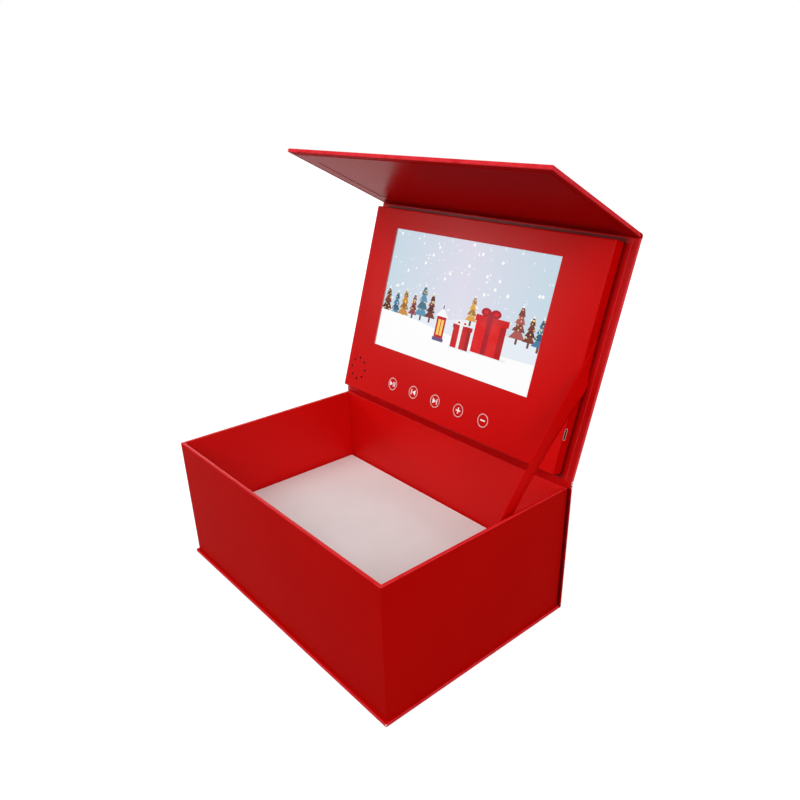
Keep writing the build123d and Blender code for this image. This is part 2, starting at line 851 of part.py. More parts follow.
with BuildPart() as cell_leads:
    for x in (cell_right - 2 * wire_radius, cell_right - 6 * wire_radius):
        start = lid_plane.from_local_coords((x, cell_low, lead_n))
        bend = lid_plane.from_local_coords((x, lead_end, lead_n))
        end = lid_plane.from_local_coords((x, lead_end, board_top - circuit))
        with BuildLine() as route:
            FilletPolyline(start, bend, end, radius=2 * wire_radius)
        with BuildSketch(Plane(origin=start, z_dir=route.line % 0)):
            Circle(wire_radius)
        sweep(path=route.line)
cell_leads.part.label = "cell_leads"
export_step(cell_leads.part, "parts/cell_leads.step")


# Ribbon: flat on the player's side, then free and turning a little to the tray's inner wall

lean = math.radians(ribbon_slope)


def ribbon_section(distance, across, twist):
    # a plane square to the ribbon, `distance` from where it passes the player's front edge
    up = ribbon_cross - distance * math.cos(lean)
    above = module_front_n + distance * math.sin(lean)
    down = lid_plane.z_dir * math.sin(lean) - lid_plane.y_dir * math.cos(lean)
    wide = lid_plane.z_dir * math.cos(lean) + lid_plane.y_dir * math.sin(lean)
    turn = math.radians(twist)
    return Plane(
        origin=lid_plane.from_local_coords((across, up, above)),
        x_dir=wide * math.cos(turn) + lid_plane.x_dir * math.sin(turn),
        z_dir=down,
    )


ribbon_top = ribbon_section(-module_depth / math.sin(lean) - 2 * ribbon_width, module_right + ribbon / 2, 0)
ribbon_low = ribbon_section(ribbon_flat, module_right + ribbon / 2, 0)
ribbon_middle = ribbon_section((ribbon_flat + ribbon_foot) / 2, module_right + ribbon_bow, ribbon_twist / 2)
ribbon_rim = ribbon_section(ribbon_foot, inner_width / 2 - ribbon_clear, ribbon_twist)
ribbon_wall = Plane(
    origin=(
        inner_width / 2 - ribbon / 2,
        ribbon_rim.origin.Y - ribbon_back,
        ribbon_rim.origin.Z - ribbon_drop,
    ),
    x_dir=(0, -1, 0),
    z_dir=(0, 0, -1),
)

with BuildPart() as stay_ribbon:
    with BuildSketch(ribbon_low):
        Rectangle(ribbon_width, ribbon)
    extrude(amount=(ribbon_top.origin - ribbon_low.origin).length, dir=-ribbon_low.z_dir)
    split(bisect_by=lid_plane.offset(lining_top), keep=Keep.TOP)
    for section in (ribbon_low, ribbon_middle, ribbon_rim):
        with BuildSketch(section):
            Rectangle(ribbon_width, ribbon)
    loft()
    for section in (ribbon_rim, ribbon_wall):
        with BuildSketch(section):
            Rectangle(ribbon_width, ribbon)
    loft()
    with BuildSketch(ribbon_wall):
        Rectangle(ribbon_width, ribbon)
    extrude(amount=ribbon_tail)
stay_ribbon.part.label = "stay_ribbon"
export_step(stay_ribbon.part, "parts/stay_ribbon.step")
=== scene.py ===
import bpy
import bmesh
import math
import random
import mathutils
from mathutils import Matrix, Vector, noise


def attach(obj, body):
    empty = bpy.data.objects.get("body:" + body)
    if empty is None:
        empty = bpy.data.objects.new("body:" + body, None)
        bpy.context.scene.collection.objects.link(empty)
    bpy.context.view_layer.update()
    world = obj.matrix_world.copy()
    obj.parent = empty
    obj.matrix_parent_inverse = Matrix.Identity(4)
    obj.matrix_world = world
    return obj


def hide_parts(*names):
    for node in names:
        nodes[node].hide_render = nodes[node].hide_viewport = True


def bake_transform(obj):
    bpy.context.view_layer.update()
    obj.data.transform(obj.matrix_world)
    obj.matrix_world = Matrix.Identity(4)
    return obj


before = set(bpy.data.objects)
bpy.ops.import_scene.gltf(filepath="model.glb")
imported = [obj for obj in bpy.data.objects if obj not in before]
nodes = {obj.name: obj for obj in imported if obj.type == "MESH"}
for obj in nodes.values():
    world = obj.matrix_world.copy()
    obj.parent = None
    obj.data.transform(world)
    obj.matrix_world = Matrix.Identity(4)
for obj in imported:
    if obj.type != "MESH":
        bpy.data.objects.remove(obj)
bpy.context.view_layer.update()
mm = 0.001
print("frame loaded:", len(nodes), "nodes")


# spaces of the two leaves: X along the hinge, Y away from it, Z to the inside of the box
leaves = {
    "lidOpen": 107.3,       # degrees from shut
    "flapOpen": 98.6,       # between the insides of lid and flap
    "lidAxis": (0.0, 74.7, 93.3),
    "flapAxis": (0.0, 119.247, 236.323),
}


def leafSpace(axis, lean):
    lean = math.radians(lean)
    away = Vector((0, -math.cos(lean), math.sin(lean)))
    inward = Vector((0, -math.sin(lean), -math.cos(lean)))
    space = Matrix.Identity(4)
    for row in range(3):
        space[row][1] = away[row]
        space[row][2] = inward[row]
        space[row][3] = axis[row] * mm
    return space


lidSpace = leafSpace(leaves["lidAxis"], leaves["lidOpen"])
flapSpace = leafSpace(leaves["flapAxis"], leaves["lidOpen"] + leaves["flapOpen"])
for row in range(3):
    # beyond the hinge the flap's own directions are turned about
    flapSpace[row][1] = -flapSpace[row][1]
    flapSpace[row][2] = -flapSpace[row][2]


def lidPoint(x, up, above):
    return lidSpace @ (Vector((x, up, above)) * mm)


def flapPoint(x, up, above):
    return flapSpace @ (Vector((x, up, above)) * mm)


def newMaterial(name):
    material = bpy.data.materials.new(name)
    material.use_nodes = True
    tree = material.node_tree
    tree.nodes.clear()
    output = tree.nodes.new("ShaderNodeOutputMaterial")
    shader = tree.nodes.new("ShaderNodeBsdfPrincipled")
    tree.links.new(shader.outputs["BSDF"], output.inputs["Surface"])
    return material, tree, shader


def addNode(tree, kind, values=None, **settings):
    node = tree.nodes.new("ShaderNode" + kind)
    for key, value in settings.items():
        setattr(node, key, value)
    for key, value in (values or {}).items():
        if hasattr(value, "links"):
            tree.links.new(value, node.inputs[key])
        else:
            node.inputs[key].default_value = value
    return node


def place(tree, space=None):
    # the piece's own coordinates, in metres, turned into a leaf's where one is given
    coords = addNode(tree, "TexCoord").outputs["Object"]
    if space is None:
        return coords
    inverse = space.inverted()
    turn = inverse.to_euler()
    mapping = addNode(tree, "Mapping", {"Vector": coords})
    mapping.inputs["Location"].default_value = inverse.translation
    mapping.inputs["Rotation"].default_value = turn
    return mapping.outputs["Vector"]


def noiseAt(tree, vector, scale, detail=4.0, roughness=0.5):
    values = {"Vector": vector, "Scale": scale, "Detail": detail, "Roughness": roughness}
    return addNode(tree, "TexNoise", values)


def mathNode(tree, operation, first, second=0.0):
    return addNode(tree, "Math", {0: first, 1: second}, operation=operation).outputs[0]


def apartFrom(tree, vector, point):
    # how far from a point, in metres
    return addNode(tree, "VectorMath", {0: vector, 1: point}, operation="DISTANCE").outputs["Value"]


def alongAxis(tree, vector, axis):
    return addNode(tree, "SeparateXYZ", {"Vector": vector}).outputs[axis]


def mixColour(tree, factor, first, second):
    node = addNode(tree, "Mix", data_type="RGBA")
    for socket, value in ((node.inputs[0], factor), (node.inputs[6], first), (node.inputs[7], second)):
        if hasattr(value, "links"):
            tree.links.new(value, socket)
        else:
            socket.default_value = (*value, 1.0)
    return node.outputs[2]


def spread(tree, value, low, high, toLow=0.0, toHigh=1.0):
    limits = {"From Min": low, "From Max": high, "To Min": toLow, "To Max": toHigh}
    return addNode(tree, "MapRange", {"Value": value, **limits}).outputs["Result"]


def roughGrain(tree, shader, grain, strength, depth):
    # the fine surface of a material
    values = {"Height": grain.outputs["Fac"], "Strength": strength, "Distance": depth}
    tree.links.new(addNode(tree, "Bump", values).outputs["Normal"], shader.inputs["Normal"])


softPaper = {
    "outside": {
        "colour": (0.43, 0.0022, 0.0010), "deep": (0.41, 0.0017, 0.0008),
        "gloss": 0.007, "rough": 0.47,
    },
    "inside": {
        "colour": (0.57, 0.0010, 0.0008), "deep": (0.545, 0.0008, 0.0006),
        "gloss": 0.12, "rough": 0.47,
    },
    "player": {
        "colour": (0.53, 0.0006, 0.0006), "deep": (0.50, 0.0004, 0.0004),
        "gloss": 0.05, "rough": 0.22,
    },
    "liner": {
        "colour": (0.47, 0.0012, 0.0014), "deep": (0.44, 0.0010, 0.0012),
        "gloss": 0.08, "rough": 0.30,
    },
    "flap": {
        "colour": (0.40, 0.0014, 0.0022), "deep": (0.37, 0.0010, 0.0018),
        "gloss": 0.015, "rough": 0.30,
    },
    "worn": (0.66, 0.055, 0.050),
    "rim": (0.64, 0.026, 0.036),    # rubbed paper along the turned edges, lightened further as a painted highlight
    "painted_shade": (0.13, 0.0006, 0.0010),  # painted shade where paper lies deep between two pieces, and beside the player on the lid's lining
    "bare": (0.80, 0.70, 0.66),     # where the coating has chipped off
}


def softTouch(tree, tone):
    # cloudy colour with a fine grain
    coords = place(tree)
    clouds = noiseAt(tree, coords, 18.0, 3.0)
    grain = noiseAt(tree, coords, 2600.0, 2.0, 0.6)
    shade = mixColour(tree, spread(tree, clouds.outputs["Fac"], 0.35, 0.65), tone["colour"], tone["deep"])
    specks = spread(tree, grain.outputs["Fac"], 0.5, 0.8, 0.0, 0.04)
    return mixColour(tree, specks, shade, softPaper["worn"]), grain


def wornAndPaintedLight(tree, colour, rims, chips, out=None):
    # `rims` are bands along edges: a space, an axis, from where to where in mm, and a tone; the tones are
    # rubbed paper with a painted highlight, and painted shade.
    # `chips` are a point and a size. `out` is how far outside the lining a point is, because
    # only a rim's outer edge is rubbed and given the painted highlight.
    wear = noiseAt(tree, place(tree), 160.0, 4.0, 0.6).outputs["Fac"]
    for space, axis, start, full, tone in rims:
        value = alongAxis(tree, place(tree, space), axis)
        if axis == "X":
            value = mathNode(tree, "ABSOLUTE", value)
        band = spread(tree, value, start * mm, full * mm)
        # the rubbed edges with their painted highlight come in patches
        if tone == "rim":
            band = mathNode(tree, "MULTIPLY", band, spread(tree, wear, 0.3, 0.55, 0.45, 1.0))
            if out:
                band = mathNode(tree, "MULTIPLY", band, spread(tree, out, 1.1 * mm, 1.5 * mm))
        colour = mixColour(tree, band, colour, softPaper[tone])
    for point, size in chips:
        apart = apartFrom(tree, place(tree), Vector(point) * mm)
        ragged = mathNode(tree, "ADD", apart, mathNode(tree, "MULTIPLY", wear, size * mm))
        chipped = spread(tree, ragged, 1.5 * size * mm, 1.3 * size * mm)
        colour = mixColour(tree, chipped, colour, softPaper["bare"])
    return colour


def redPaper(name, tone, lined=None, box=None, space=None, rims=(), chips=()):
    # soft-touch coated paper. `lined` is the tone inside the walls of `box`, or inside the leaf of `space`.
    material, tree, shader = newMaterial(name)
    colour, grain = softTouch(tree, softPaper[tone])
    mean = softPaper[tone]["rough"]
    rough = spread(tree, grain.outputs["Fac"], 0.3, 0.7, mean - 0.05, mean + 0.05)
    shader.inputs["Specular IOR Level"].default_value = softPaper[tone]["gloss"]
    out = None
    if lined:
        inner = softTouch(tree, softPaper[lined])[0]
        coords = place(tree, space)
        if box:
            outX, outY = [
                mathNode(tree, "SUBTRACT", mathNode(tree, "ABSOLUTE", alongAxis(tree, coords, axis)), wall * mm)
                for axis, wall in zip("XY", box)
            ]
            out = mathNode(tree, "MAXIMUM", outX, outY)
            outer = spread(tree, out, 0.9 * mm, 1.3 * mm)
        else:
            outer = spread(tree, alongAxis(tree, coords, "Z"), -1.0 * mm, -1.1 * mm)
        colour = mixColour(tree, outer, inner, colour)
        change = mean - softPaper[lined]["rough"]
        rough = mathNode(tree, "SUBTRACT", rough, spread(tree, outer, 0.0, 1.0, change, 0.0))
        gloss = spread(tree, outer, 0.0, 1.0, softPaper[lined]["gloss"], softPaper[tone]["gloss"])
        tree.links.new(gloss, shader.inputs["Specular IOR Level"])
    colour = wornAndPaintedLight(tree, colour, rims, chips, out)
    tree.links.new(colour, shader.inputs["Base Color"])
    tree.links.new(rough, shader.inputs["Roughness"])
    roughGrain(tree, shader, grain, 0.25, 0.00005)
    return material


def plainCard(name, colour, grainScale=900.0, roughness=0.8, holeShadeCorner=None, foldHighlight=None):
    # `holeShadeCorner` is the place, in mm on the lid, below and left of which the cut card, in the sound
    # holes, is painted dark as shade.
    # `foldHighlight` is where the fold of the back edge starts, from which on a painted highlight makes the
    # card paler.
    material, tree, shader = newMaterial(name)
    coords = place(tree)
    clouds = noiseAt(tree, coords, 25.0, 4.0)
    grain = noiseAt(tree, coords, grainScale, 3.0, 0.6)
    dark = tuple(c * 0.9 for c in colour)
    shade = mixColour(tree, spread(tree, clouds.outputs["Fac"], 0.35, 0.65, 0.0, 0.5), colour, dark)
    tone = mixColour(tree, spread(tree, grain.outputs["Fac"], 0.35, 0.7, 0.0, 0.2), shade, dark)
    # painted highlight along the rounded fold of the back edge
    if foldHighlight:
        paintedHighlight = spread(tree, alongAxis(tree, coords, "Y"), foldHighlight * mm, (foldHighlight + 0.4) * mm)
        tone = mixColour(tree, paintedHighlight, tone, (0.97, 0.96, 0.96))
    # painted shade, near black, on the card in the sound holes
    if holeShadeCorner:
        onLid = place(tree, lidSpace)
        left = mathNode(tree, "LESS_THAN", alongAxis(tree, onLid, "X"), holeShadeCorner[0] * mm)
        low = mathNode(tree, "LESS_THAN", alongAxis(tree, onLid, "Y"), holeShadeCorner[1] * mm)
        tone = mixColour(tree, mathNode(tree, "MULTIPLY", left, low), tone, (0.02, 0.008, 0.008))
    tree.links.new(tone, shader.inputs["Base Color"])
    shader.inputs["Roughness"].default_value = roughness
    roughGrain(tree, shader, grain, 0.3, 0.00008)
    return material


def grainy(name, colour, second, scale, roughness, metallic=0.0):
    # small inner pieces: two close tones and a fine surface
    material, tree, shader = newMaterial(name)
    grain = noiseAt(tree, place(tree), scale, 3.0, 0.55)
    tone = mixColour(tree, spread(tree, grain.outputs["Fac"], 0.35, 0.65), colour, second)
    tree.links.new(tone, shader.inputs["Base Color"])
    rough = spread(tree, grain.outputs["Fac"], 0.3, 0.7, roughness - 0.06, roughness + 0.06)
    tree.links.new(rough, shader.inputs["Roughness"])
    shader.inputs["Metallic"].default_value = metallic
    roughGrain(tree, shader, grain, 0.3, 0.00002)
    return material


def ownShader(material):
    # a finished material's shader, and the colour that reaches it
    shader = [n for n in material.node_tree.nodes if n.type == "BSDF_PRINCIPLED"][0]
    return shader, shader.inputs["Base Color"].links[0].from_socket


def dress(material, *names):
    for name in names:
        slots = nodes[name].material_slots
        for slot in slots:
            slot.material = material
        if not slots:
            nodes[name].data.materials.append(material)


# turned edges rubbed and lightened with a painted highlight
sideRim = [(None, "X", 113.7, 114.0, "rim")]
baseRims = sideRim + [(None, "Y", -74.9, -75.2, "rim")]
dress(redPaper("basePaper", "outside", rims=baseRims, chips=[((114.1, -75.3, 1.6), 0.8)]), "base_wrap")
# painted shade on the back board's margin beside the tray's wall
backPaintedShade = [(None, "Y", 74.3, 73.8, "painted_shade")]
dress(redPaper("backPaper", "outside", rims=backPaintedShade, chips=[((114.1, 75.5, 91.3), 0.8)]), "back_wrap")
lidChips = [((114.1, 75.6, 94.8), 1.3), ((-114.1, 74.4, 95.2), 0.9)]
dress(redPaper("lidPaper", "outside", "liner", space=lidSpace, rims=sideRim, chips=lidChips), "lid_wrap")
# the flap's free edge is rubbed and lightened with a painted highlight
dress(redPaper("flapPaper", "outside", rims=sideRim + [(flapSpace, "Y", 92.1, 92.45, "rim")]), "flap_wrap")
# the tray's rim is rubbed and lightened with a painted highlight
trayRim = [(None, "Z", 91.3, 91.6, "rim")]
dress(redPaper("trayPaper", "outside", "inside", (110.2, 71.4), rims=trayRim), "tray_wrap")
playerPaper = redPaper("playerPaper", "player")
soundHoles = {
    "count": 8,
    "centre": (-95.3, 20.8),
    "ring": 8.3,
    "radius": 0.8,
    "shade": (0.02, 0.001, 0.001),
}


def shadeHoles(material):
    # the paper turned into the sound holes lies in shadow
    tree = material.node_tree
    shader, colour = ownShader(material)
    values = {0: place(tree, lidSpace), 1: (1.0, 1.0, 0.0)}
    front = addNode(tree, "VectorMath", values, operation="MULTIPLY").outputs[0]
    near = None
    for k in range(soundHoles["count"]):
        turn = math.radians(360.0 / soundHoles["count"] * k)
        x = soundHoles["centre"][0] + soundHoles["ring"] * math.cos(turn)
        up = soundHoles["centre"][1] + soundHoles["ring"] * math.sin(turn)
        apart = apartFrom(tree, front, (x * mm, up * mm, 0.0))
        near = mathNode(tree, "MINIMUM", near, apart) if near else apart
    radius = soundHoles["radius"]
    inHole = spread(tree, near, (radius + 0.2) * mm, (radius + 0.05) * mm)
    tree.links.new(mixColour(tree, inHole, colour, soundHoles["shade"]), shader.inputs["Base Color"])


shadeHoles(playerPaper)
dress(playerPaper, "module_wrap", "play_key", "previous_key", "next_key", "louder_key", "quieter_key")
# the lining's edge is rubbed and lightened with a painted highlight; beside the player it gets painted shade
liningRims = [(None, "X", 109.6, 110.0, "rim"), (None, "X", 108.4, 105.2, "painted_shade")]
dress(redPaper("lidLining", "liner", rims=liningRims), "lid_lining")
dress(redPaper("flapLining", "flap"), "flap_lining")
board = plainCard("greyBoard", (0.36, 0.33, 0.29), 700.0, 0.9)
dress(board, "tray_board", "base_board", "back_board", "lid_board", "flap_board")
dress(board, "module_back", "module_frame")
# the pink card is painted dark as shade in the sound holes
dress(plainCard("pinkBoard", (0.55, 0.20, 0.19), 700.0, 0.9, (-84.5, 33.0)), "module_front")
# the pale card has a painted highlight along its back fold
dress(plainCard("paleCard", (0.83, 0.86, 0.85), 900.0, 0.7, foldHighlight=67.6), "tray_platform")

# colour, second colour, scale of the grain, roughness and metallic, then the nodes
smallFinishes = {
    "tissueTape": ((0.78, 0.77, 0.72), (0.66, 0.65, 0.6), 800.0, 0.6, 0.0, ["module_tape"]),
    "pressedSteel": (
        (0.55, 0.55, 0.57), (0.42, 0.42, 0.44), 400.0, 0.35, 1.0,
        ["display_tray", "tray_steel_discs"],
    ),
    "nickelPlate": (
        (0.66, 0.65, 0.62), (0.55, 0.54, 0.5), 500.0, 0.25, 1.0,
        ["flap_magnets", "trigger_magnet", "speaker_magnet"],
    ),
    "lightGuide": ((0.86, 0.87, 0.9), (0.78, 0.8, 0.84), 120.0, 0.3, 0.0, ["display_backlight"]),
    "polyimide": ((0.55, 0.25, 0.04), (0.42, 0.17, 0.02), 600.0, 0.4, 0.0, ["display_flex"]),
    "solderMask": ((0.015, 0.13, 0.05), (0.03, 0.2, 0.09), 350.0, 0.35, 0.0, ["main_board", "key_board"]),
    "blackMould": (
        (0.018, 0.018, 0.02), (0.03, 0.03, 0.033), 1500.0, 0.45, 0.0,
        ["main_board_chips", "port_tongue", "reed_switch"],
    ),
    "switchMetal": ((0.5, 0.5, 0.5), (0.38, 0.38, 0.4), 900.0, 0.35, 0.9, ["key_switches"]),
    "speakerSteel": ((0.05, 0.05, 0.055), (0.03, 0.03, 0.033), 500.0, 0.5, 0.8, ["speaker_basket"]),
    # the cone's near-black tone stands in for painted shade in the sound holes
    "coneCardAndHoleShade": ((0.016, 0.014, 0.014), (0.03, 0.027, 0.026), 1200.0, 0.85, 0.0, ["speaker_cone"]),
    "pouchFoil": ((0.62, 0.63, 0.65), (0.5, 0.51, 0.54), 220.0, 0.4, 0.7, ["cell"]),
    "siliconeJacket": ((0.3, 0.015, 0.015), (0.22, 0.01, 0.01), 900.0, 0.5, 0.0, ["cell_leads"]),
    "darkGlass": ((0.02, 0.028, 0.045), (0.03, 0.04, 0.06), 60.0, 0.2, 0.0, ["display_panel"]),
}
for finish, (*look, names) in smallFinishes.items():
    dress(grainy(finish, *look), *names)

# the charging port's shell is plated, with painted shade on it behind its mouth
port = {
    "plating": ((0.86, 0.77, 0.68), (0.76, 0.66, 0.56), 700.0, 0.4, 0.35),
    "paintedShadeDepth": (104.72, 104.86),      # along X, from painted shade to plated
    # painted shade deep in the shell
    "inside": (0.012, 0.011, 0.011),
}


def portFinish():
    material = grainy("platedShell", *port["plating"])
    tree = material.node_tree
    shader, plating = ownShader(material)
    start, full = port["paintedShadeDepth"]
    # painted shade deeper in the shell than its mouth
    paintedShadeDepth = spread(tree, alongAxis(tree, place(tree), "X"), start * mm, full * mm)
    tree.links.new(mixColour(tree, paintedShadeDepth, port["inside"], plating), shader.inputs["Base Color"])
    return material


dress(portFinish(), "port_shell")
print("finishes on the frame's nodes")


def addPiece(name, bm, materials):
    mesh = bpy.data.meshes.new(name)
    bm.to_mesh(mesh)
    bm.free()
    for material in materials:
        mesh.materials.append(material)
    piece = bpy.data.objects.new(name, mesh)
    bpy.context.scene.collection.objects.link(piece)
    return piece


def newSheet(sizes):
    bm = bmesh.new()
    counts = {"x_segments": sizes["across"], "y_segments": sizes["along"]}
    bmesh.ops.create_grid(bm, size=1.0, calc_uvs=True, **counts)
    return bm


def smoothLine(points, steps):
    # an even run of points on a smooth line through the given ones
    points = [Vector(p) for p in points]
    ends = [2 * points[0] - points[1], *points, 2 * points[-1] - points[-2]]
    fine = []
    for a, b, c, d in zip(ends, ends[1:], ends[2:], ends[3:]):
        fine += mathutils.geometry.interpolate_bezier(b, b + (c - a) / 6, c - (d - b) / 6, c, 24)[:-1]
    fine.append(points[-1])
    lengths = [0.0]
    for a, b in zip(fine, fine[1:]):
        lengths.append(lengths[-1] + (b - a).length)
    line = []
    k = 0
    for step in range(steps + 1):
        target = lengths[-1] * step / steps
        while k < len(fine) - 2 and lengths[k + 1] < target:
            k += 1
        share = (target - lengths[k]) / max(lengths[k + 1] - lengths[k], 1e-12)
        line.append(fine[k].lerp(fine[k + 1], min(share, 1.0)))
    return line, lengths[-1]


# paper hinges: each strip is one sheet, glued to a board at either side and free between
hinges = {
    "halfWidth": 114.0,
    "thickness": 0.2,
    "ripple": 0.05,
    "across": 90,
    "along": 14,
}


def hingeStrip(name, points, replaced, material, outward):
    line = smoothLine([Vector((0, y * mm, z * mm)) for y, z in points], hinges["along"])[0]
    bm = newSheet(hinges)
    for vert in bm.verts:
        row = round((vert.co.y + 1) / 2 * hinges["along"])
        here = line[row]
        before, after = line[max(row - 1, 0)], line[min(row + 1, len(line) - 1)]
        tangent = (after - before).normalized()
        normal = Vector((0, -tangent.z, tangent.y)) * outward
        x = vert.co.x * hinges["halfWidth"] * mm
        loose = math.sin(math.pi * row / hinges["along"])
        wave = noise.noise(Vector((x * 60, row * 0.2, outward * 3.0))) * hinges["ripple"] * mm * loose
        vert.co = Vector((x, here.y, here.z)) + normal * wave
    bmesh.ops.recalc_face_normals(bm, faces=bm.faces)
    for face in bm.faces:
        face.smooth = True
    piece = addPiece(name, bm, [material])
    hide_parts(replaced)
    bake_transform(piece)
    skin = piece.modifiers.new("skin", "SOLIDIFY")
    skin.thickness = hinges["thickness"] * mm
    skin.offset = 0.0
    return piece


def flat(point):
    return (point.y / mm, point.z / mm)


hingeChips = [((114.0, 75.6, 93.4), 1.0), ((-114.0, 75.0, 93.8), 0.8)]
hingePaper = redPaper("hingePaper", "liner", chips=hingeChips)
coverPaper = redPaper("coverPaper", "outside", chips=hingeChips)
flapHingePaper = redPaper("flapHingePaper", "flap")
hingeStrip(
    "lidHingeInside",
    [(73.6, 91.4), (73.75, 93.4), flat(lidPoint(0, 1.9, 1.3))],
    "lid_hinge_lining", hingePaper, 1,
)
hingeStrip(
    "lidHingeOutside",
    [(75.85, 90.7), (75.8, 92.3), (75.95, 93.4), flat(lidPoint(0, 2.4, -1.15))],
    "lid_hinge_cover", coverPaper, -1,
)
hingeStrip(
    "flapHingeInside",
    [flat(lidPoint(0, 147.9, 1.25)), flat(lidPoint(0, 149.1, 0.5)), flat(flapPoint(0, 1.9, 1.25))],
    "flap_hinge_lining", flapHingePaper, 1,
)
hingeStrip(
    "flapHingeOutside",
    [flat(lidPoint(0, 147.7, -1.15)), flat(lidPoint(0, 150.3, -0.75)), flat(flapPoint(0, 2.1, -1.15))],
    "flap_hinge_cover", coverPaper, -1,
)
print("paper hinges")


# satin ribbon: flat on the player's side, then free, turning as it runs to the tray's wall
ribbon = {
    "width": 13.0,
    "thickness": 0.25,
    "across": 8,
    "along": 120,
    "colour": (0.60, 0.0008, 0.0008),
    "shadow": (0.52, 0.0006, 0.0006),
    "lining": 1.4,          # of the lid, where the ribbon's slanted end lies
    # from the tray's rim: how far right, how much nearer the front, how far down, and the turn
    "tail": [(107.4, 4.2, 6.5, -6.0), (109.8, 7.0, 13.0, -1.0), (109.8, 8.0, 26.0, 0.0)],
    "foot": (8.5, 9.5),     # where it starts to turn over: nearer the front, and down
    "head": (105.3, 63.0, 7.0),
    # how far up the lid, how far above it, how far to the right, and turned by how much
    "stations": [
        (91.5, -6.6, 105.15, 0.0),
        (74.0, 1.9, 105.4, 3.0),
        (60.0, 8.8, 106.2, 10.0),
        (44.5, 16.1, 105.6, 2.0),
        (20.7, 27.9, 106.0, -10.0),
        (-3.0, 39.9, 106.6, -11.5),
        (-18.5, 46.6, 107.0, -11.0),
    ],
}


def satin(name, colour, shadow):
    # warp threads along the ribbon catch the light, the weft shows as fine ribs
    material, tree, shader = newMaterial(name)
    uv = addNode(tree, "TexCoord").outputs["UV"]
    threads = addNode(tree, "Mapping", {"Vector": uv, "Scale": (80.0, 12.0, 1.0)}).outputs["Vector"]
    sheen = noiseAt(tree, threads, 1.0, 2.0)
    ribs = addNode(tree, "TexWave", {"Vector": uv, "Scale": 170.0, "Distortion": 0.6}, bands_direction="Y")
    tone = mixColour(tree, spread(tree, sheen.outputs["Fac"], 0.3, 0.7), shadow, colour)
    tone = mixColour(tree, mathNode(tree, "MULTIPLY", ribs.outputs["Fac"], 0.25), tone, shadow)
    tree.links.new(tone, shader.inputs["Base Color"])
    shader.inputs["Roughness"].default_value = 0.5
    shader.inputs["Anisotropic"].default_value = 0.4
    shader.inputs["Specular IOR Level"].default_value = 0.02
    bump = addNode(tree, "Bump", {"Height": ribs.outputs["Fac"], "Strength": 0.3, "Distance": 0.00005})
    tree.links.new(bump.outputs["Normal"], shader.inputs["Normal"])
    return material


def makeRibbon():
    # centres and the turn of each station, then the tail down the tray's inner wall
    centres = [lidPoint(x, up, above) for up, above, x, turn in ribbon["stations"]]
    turns = [turn for up, above, x, turn in ribbon["stations"]]
    rim = centres[-1]
    for x, front, down, turn in ribbon["tail"]:
        centres.append(Vector((x * mm, rim.y - front * mm, rim.z - down * mm)))
        turns.append(turn)
    line, length = smoothLine(centres, ribbon["along"])
    marks = [0.0]
    for a, b in zip(centres, centres[1:]):
        marks.append(marks[-1] + (b - a).length)
    bm = newSheet(ribbon)
    for vert in bm.verts:
        row = round((vert.co.y + 1) / 2 * ribbon["along"])
        here = line[row]
        tangent = (line[min(row + 1, len(line) - 1)] - line[max(row - 1, 0)]).normalized()
        share = row / ribbon["along"] * marks[-1]
        k = max(i for i, mark in enumerate(marks) if mark <= share + 1e-9)
        k = min(k, len(turns) - 2)
        part = (share - marks[k]) / (marks[k + 1] - marks[k])
        part = min(max(part, 0.0), 1.0)
        turn = turns[k] + (turns[k + 1] - turns[k]) * part * part * (3 - 2 * part)
        side = Vector((1, 0, 0))
        wide = side.cross(tangent).normalized()
        across = Matrix.Rotation(math.radians(turn), 3, tangent) @ wide
        vert.co = here + across * (vert.co.x * ribbon["width"] / 2 * mm)
    # its end is cut on the slant, where it goes in between the player and the lid
    whole = bm.verts[:] + bm.edges[:] + bm.faces[:]
    lining = lidPoint(0, 0, ribbon["lining"])
    inward = (lidPoint(0, 0, 1) - lidPoint(0, 0, 0)).normalized()
    hidden = sum(1 for point in line if (point - lining).dot(inward) < 0)
    length *= 1 - hidden / ribbon["along"]
    bmesh.ops.bisect_plane(bm, geom=whole, plane_co=lining, plane_no=inward, clear_inner=True)
    for face in bm.faces:
        face.smooth = True
    piece = addPiece("satinRibbon", bm, [satin("satinRibbon", ribbon["colour"], ribbon["shadow"])])
    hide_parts("stay_ribbon")
    # it turns over its whole free length
    front, down = ribbon["foot"]
    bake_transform(piece)
    weave = piece.modifiers.new("weave", "SOLIDIFY")
    weave.thickness = ribbon["thickness"] * mm
    weave.offset = 0.0
    print("ribbon", round(length / mm, 1), "mm long")


makeRibbon()


# the picture on the display: a plain winter hillside, drawn as flat lit shapes on the glass
picture = {
    "centre": (-5.4, 87.3),
    "glass": 8.2,           # above the lid
    "halfWidth": 77.6,
    "halfHeight": 44.3,
    "glow": 0.97,
    "seed": 11,
    "flakes": 150,
    "skyEdge": (0.56, 0.70, 0.79),
    "skyMiddle": (0.73, 0.71, 0.82),
    "snow": (1.0, 1.0, 1.0),
}


def litPrint(name, glow):
    # the lit film: each shape's own tint, a little uneven
    material, tree, shader = newMaterial(name)
    tint = addNode(tree, "VertexColor", layer_name="tint").outputs["Color"]
    coords = place(tree)
    clouds = noiseAt(tree, coords, 70.0, 3.0)
    uneven = spread(tree, clouds.outputs["Fac"], 0.35, 0.65, 0.0, 0.03)
    soft = mixColour(tree, uneven, tint, (0.75, 0.72, 0.85))
    shader.inputs["Base Color"].default_value = (0.004, 0.004, 0.004, 1)
    shader.inputs["Roughness"].default_value = 0.3
    shader.inputs["Specular IOR Level"].default_value = 0.03
    tree.links.new(soft, shader.inputs["Emission Color"])
    # the film is bright only from near its front, so the flap's sheen hardly shows it
    mirrored = addNode(tree, "LightPath").outputs["Is Glossy Ray"]
    tree.links.new(spread(tree, mirrored, 0.0, 1.0, glow, glow * 0.1), shader.inputs["Emission Strength"])
    return material


